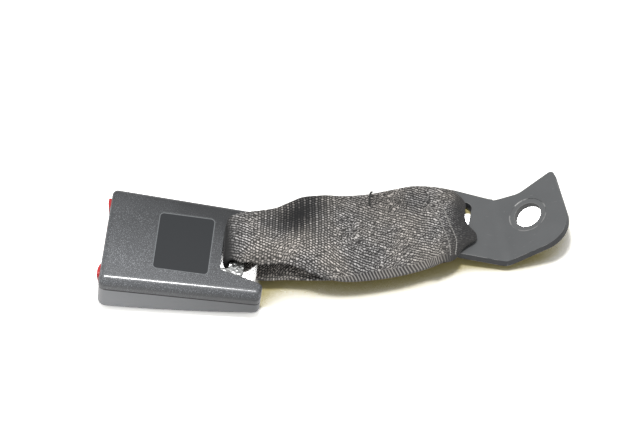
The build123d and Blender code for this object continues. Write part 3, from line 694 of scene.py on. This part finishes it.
# Hills and hollows of the top layer: centre, length, width, heading, height in millimetres,
# and how much paler the weave is painted there, painted light and shade.
HILLS = [
    ((83.0, 22.5), 14.0, 7.0, 67.0, -2.6, -0.86),
    ((72.0, 16.0), 8.0, 4.5, 20.0, -1.2, -0.16),
    ((62.0, 8.0), 9.0, 6.0, 60.0, 0.3, 0.2),
    ((70.0, 2.0), 14.0, 5.0, -8.0, 0.8, 0.36),
    ((87.0, 4.0), 15.0, 5.5, -10.0, 0.9, 0.55),
    ((102.0, 20.0), 12.0, 8.0, 60.0, 0.9, 0.16),
    ((112.0, 8.0), 16.0, 8.0, 20.0, 0.5, 0.1),
    ((143.0, 20.0), 18.0, 3.5, 92.0, 0.5, 0.35),
    ((136.0, 30.0), 16.0, 3.0, 96.0, -0.5, -0.14),
    ((114.0, 33.0), 30.0, 7.0, 18.0, 0.0, -0.32),
]


# Rows of the dense surface: where the top layer starts and ends, the part of it that the hills
# shape, and where the lower layer starts, which is painted paler throughout: painted light.
TOP_START = ROW_STEPS * (len(INNER_END) + len(LOOP))
TOP_END = TOP_START + ROW_STEPS * len(TOP)
HILLY = slice(TOP_START + 4, TOP_END)
LOWER_START = TOP_END + 6 * ROW_STEPS
LOWER_PAINTED_BRIGHTNESS = 1.35


def strap_surface():
    """The webbing's middle surface, dense both ways, with cloth coordinates in millimetres.

    Along is the length of the middle column from the inner end, and across the length of a row
    from the middle column; the painted brightness, painted light and shade, is 1 plus each
    hill's share of its paleness, and higher all over the lower layer.
    """
    rows = spline(cloth_net(), ROW_STEPS)
    grid = np.swapaxes(spline(np.swapaxes(rows, 0, 1), COLUMN_STEPS), 0, 1)
    tone = np.ones(grid.shape[:2])
    # The lower layer is painted paler throughout: painted light.
    tone[LOWER_START:] = LOWER_PAINTED_BRIGHTNESS
    for centre, length, width, heading, height, paler in HILLS:
        share = hill(grid[HILLY], centre, length, width, heading)
        grid[HILLY, :, 2] += height * share
        # Each hill paints the weave paler or darker: painted light and shade.
        tone[HILLY] += paler * share
    middle = grid.shape[1] // 2
    run = np.linalg.norm(np.diff(grid[:, middle], axis=0), axis=1)
    along = np.concatenate([[0], np.cumsum(run)])
    step = np.linalg.norm(np.diff(grid, axis=1), axis=2)
    across = np.concatenate([np.zeros((len(grid), 1)), np.cumsum(step, axis=1)], axis=1)
    return grid, along, across - across[:, middle:middle + 1], tone


surface, along, across, tone = strap_surface()


def bend(middle_row, half_length):
    """1 on the rows round a tight bend, falling as exp(-d^6) past its half length."""
    row = np.arange(len(surface))[:, None]
    return np.exp(-((row - middle_row) / half_length) ** 6)


def strap_webbing():
    """The webbing as one sheet, and what its finish follows.

    Edge is the distance from the selvedge, which does not show on the near side by the buckle.
    A painted shade darkens the cloth where it bends tightly, round the frame's bar and round the
    plate's. Columns is where the weave is pulled into ribs, by the buckle away from the near edge.
    """
    piece = grid_piece("strap_webbing", place(surface))
    cloth_map(piece, np.stack([np.broadcast_to(along[:, None], across.shape), across], -1) * MM)
    x = surface[..., 0]
    near_side = (across - across[:, :1]) + 4.4 * smooth(x, 116.0, 92.0)
    attribute(piece, "edge", np.minimum(near_side, across[:, -1:] - across))
    # Painted shade round the tight bends.
    bend_shade = (bend(TOP_START - 2.5 * ROW_STEPS, 2.6 * ROW_STEPS)
            + 0.85 * bend(TOP_END + 3.3 * ROW_STEPS, 2.9 * ROW_STEPS))
    attribute(piece, "bend_shade", np.broadcast_to(bend_shade, across.shape))
    columns = smooth(x, 62.0, 68.0) * smooth(x, 104.0, 90.0)
    attribute(piece, "columns", columns * (1 - hill(surface, (80.0, 2.0), 26.0, 7.0, -8.0)))
    # Painted light and shade on the weave.
    attribute(piece, "tone", tone)
    thicken = piece.modifiers.new("thickness", "SOLIDIFY")
    thicken.thickness, thicken.offset = WEB * MM, 0.0
    dress(piece, "webbing")
    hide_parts("webbing_strap")


TUBE_SIDES = 8


def tube(path, radius, reference):
    """Grid of a round tube on a path: each ring lies across the path's tangent.

    A ring's point is path + radius (cos a side - sin a up), with side square to the tangent and
    the reference; the radius may be a number for each ring. A ring of no radius shuts each end.
    """
    tangent = unit(np.gradient(path, axis=0))
    side = unit(np.cross(tangent, reference))
    up = np.cross(side, tangent)
    angle = np.linspace(0, 2 * math.pi, TUBE_SIDES + 1)[None, :, None]
    ring = np.cos(angle) * side[:, None] - np.sin(angle) * up[:, None]
    rings = path[:, None] + ring * np.reshape(radius, (-1, 1, 1))
    start, end = (np.broadcast_to(point, (1, *rings.shape[1:])) for point in path[[0, -1]])
    return np.concatenate([start, rings, end])


# Each row of stitches starts at a surface row counted from the top layer's end, and moves by
# the slant in rows to the millimetre as it goes across from the middle, over its reach.
STITCH_ROWS = (-1.0, 2.6)
STITCH_SLANT = -0.4
STITCH_REACH = (-17.0, 12.0)
STITCH_PITCH = 1.4
STITCH_RISE, STITCH_SINK = 0.34, 0.04
STITCH_POINTS = 12
THREAD = 0.27


def strap_stitches():
    """Two slanting rows of lock stitches across the top layer, beside the fold at the plate.

    The thread's height over the cloth is a cosine of the distance across: it shows where it is
    over the surface and is hidden where it dips in.
    """
    w = np.arange(*STITCH_REACH, STITCH_PITCH / STITCH_POINTS)
    column = np.arange(len(w))
    first, last = TOP_END - 16, TOP_END + 24
    table = np.array([
        [np.interp(w, across[i], surface[i, :, axis]) for axis in range(3)]
        for i in range(first, last)]).transpose(0, 2, 1)
    height = WEB / 2 + STITCH_RISE * np.cos(2 * math.pi * w / STITCH_PITCH) - STITCH_SINK
    tubes = []
    for start in STITCH_ROWS:
        row = TOP_END + start + STITCH_SLANT * w - first
        low, part = row.astype(int), (row % 1)[:, None]
        before, after = table[low, column], table[low + 1, column]
        at = before * (1 - part) + after * part
        normal = unit(np.cross(after - before, np.gradient(at, axis=0)))
        tubes.append(tube(at + normal * height[:, None], THREAD, normal))
    stitches = grid_piece("strap_stitches", *(place(t) for t in tubes))
    weld(stitches)
    dress(stitches, "thread")
    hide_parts("strap_stitching")


# Course of the short thread end at the strap's far edge.
LOOSE_END = [(113.4, 31.4, 15.4), (113.2, 33.0, 16.2), (113.1, 34.4, 16.9), (113.2, 35.7, 17.6),
             (113.6, 36.6, 18.0), (114.4, 36.6, 18.0)]
LOOSE_RADIUS = 1.7 * THREAD


def loose_thread():
    """A frayed thread end: a tube along a spline, which thins out at its very tip."""
    course = spline(LOOSE_END, 8)
    radius = LOOSE_RADIUS * smooth(np.linspace(1, 0, len(course)), 0.0, 0.08)
    piece = grid_piece("loose_thread", place(tube(course, radius, (1.0, 0.0, 0.0))))
    weld(piece)
    dress(piece, "thread", "loose_thread")


strap_webbing()
strap_stitches()
loose_thread()


# ---------------------------------------------------------------- stage, light and camera

# To the camera the ground's colours lie above 1, so that it is white in the open and only deep
# shadow shows on it. It shows no shadow short of SHADED_FROM in x or y, nor past FAR_OFF metres
# from the middle, nor on the patches that are seen in the notch, the slot and the bolt hole: there
# its colour is raised further, painted light that hides the shadow.
GROUND_OPEN = (1.75, 1.74, 1.7)
GROUND_PAINTED_SHADOW = (0.6, 0.52, 0.24)
GROUND_UNSHADED = (3.0, 2.98, 2.9)
GROUND_PAINTED_LIGHT = (20.0, 20.0, 20.0)
SHADED_FROM = (67.0, -17.5, 0.0)
FAR_OFF = (0.16, 0.24)
PAINTED_LIGHT_PLACES = [(56.0, 0.5, 0.0), (157.3, 37.0, 0.0), (184.5, 42.6, 0.0)]
PAINTED_LIGHT_REACH = (10.0, 3.6, 6.4)
BLUR = 1.5


def ground_finish():
    """White ground, which the camera sees as the colours above and mirrors see as plain white.

    To the camera it is painted olive where something stands close above it, a painted shadow,
    and raised to painted light where the shadow is hidden. Any other light meets an ordinary
    light grey.
    """
    f = Finish("ground", Roughness=0.9, Specular_IOR_Level=0.0)
    seen, glossy, through = (
        f.node("ShaderNodeLightPath", output=f"Is {ray} Ray")
        for ray in ("Camera", "Glossy", "Transmission"))
    open_sky = f.node("ShaderNodeAmbientOcclusion", {"samples": 8}, {"Distance": 0.03}, "AO")
    # Painted shadow: olive where the ground is close under something.
    shown = f.mix(open_sky.step(0.55, 0.7), GROUND_PAINTED_SHADOW, GROUND_OPEN)
    x, y, _ = f.split(f.place())
    from_x, from_y, _ = (float(value) for value in place(SHADED_FROM))
    before_x = x.step(from_x + BLUR * MM, from_x - BLUR * MM)
    before_y = y.step(from_y + BLUR * MM, from_y - BLUR * MM)
    far_off = ((x * x + y * y) ** 0.5).step(*FAR_OFF)
    # Painted light where the ground shows no shadow.
    unshaded = f.math("MAXIMUM", f.math("MAXIMUM", before_x, before_y), far_off)
    shown = f.mix(unshaded, shown, GROUND_UNSHADED)
    # Patches of painted light that hide the shadow.
    for (centre_x, centre_y, _), reach in zip(place(PAINTED_LIGHT_PLACES), PAINTED_LIGHT_REACH):
        away = ((x - float(centre_x)) ** 2.0 + (y - float(centre_y)) ** 2.0) ** 0.5
        painted_light_patch = away.step((reach + BLUR) * MM, (reach - BLUR) * MM)
        shown = f.mix(painted_light_patch, shown, GROUND_PAINTED_LIGHT)
    mirrored = f.math("MAXIMUM", glossy, through)
    unseen = f.mix(mirrored, (0.8, 0.8, 0.8), (1.0, 1.0, 1.0))
    return f.feed(Base_Color=f.mix(seen, unseen, shown))


def ground():
    """A flat square under everything, a hair lower than the part's lowest point."""
    size, lower = 6.0, 0.00005
    corners = np.array([[(-size, -size, -lower), (size, -size, -lower)],
                        [(-size, size, -lower), (size, size, -lower)]])
    piece = grid_piece("ground", corners)
    piece.data.materials.append(ground_finish())


def lamp():
    """A small square light overhead, turned to the middle, in metres and watts."""
    data = bpy.data.lights.new("overhead", "AREA")
    data.size, data.energy = 0.13, 3.7
    light = bpy.data.objects.new("overhead", data)
    light.location = (-0.03, 0.02, 0.85)
    light.rotation_euler = (-light.location).to_track_quat("-Z", "Y").to_euler()
    bpy.context.scene.collection.objects.link(light)


CAMERA_TARGET = (91.6, 29.7, 8.0)
CAMERA_AZIMUTH, CAMERA_ELEVATION, CAMERA_ROLL = 4.0, 56.0, 1.5
CAMERA_DISTANCE = 1.1556


def camera():
    """Long lens from above the near side, turned a little about its own axis."""
    azimuth, elevation, roll = (
        math.radians(angle) for angle in (CAMERA_AZIMUTH, CAMERA_ELEVATION, CAMERA_ROLL))
    back = Vector((math.sin(azimuth) * math.cos(elevation),
                   -math.cos(azimuth) * math.cos(elevation), math.sin(elevation)))
    data = bpy.data.cameras.new("camera")
    data.sensor_width, data.lens = 36.0, 146.25
    data.clip_start, data.clip_end = 0.05, 20.0
    view = bpy.data.objects.new("camera", data)
    view.location = Vector(place(CAMERA_TARGET)) + back * CAMERA_DISTANCE
    view.rotation_mode = "QUATERNION"
    view.rotation_quaternion = (
        (-back).to_track_quat("-Z", "Y") @ Matrix.Rotation(roll, 3, "Z").to_quaternion())
    bpy.context.scene.collection.objects.link(view)
    bpy.context.scene.camera = view


def world():
    """Even white light from all round."""
    sky = bpy.data.worlds.new("studio")
    sky.use_nodes = True
    background = sky.node_tree.nodes["Background"].inputs
    background["Color"].default_value = (1, 1, 1, 1)
    background["Strength"].default_value = 0.5
    bpy.context.scene.world = sky


ground()
world()
lamp()
camera()
bpy.context.scene.view_settings.view_transform = "Standard"
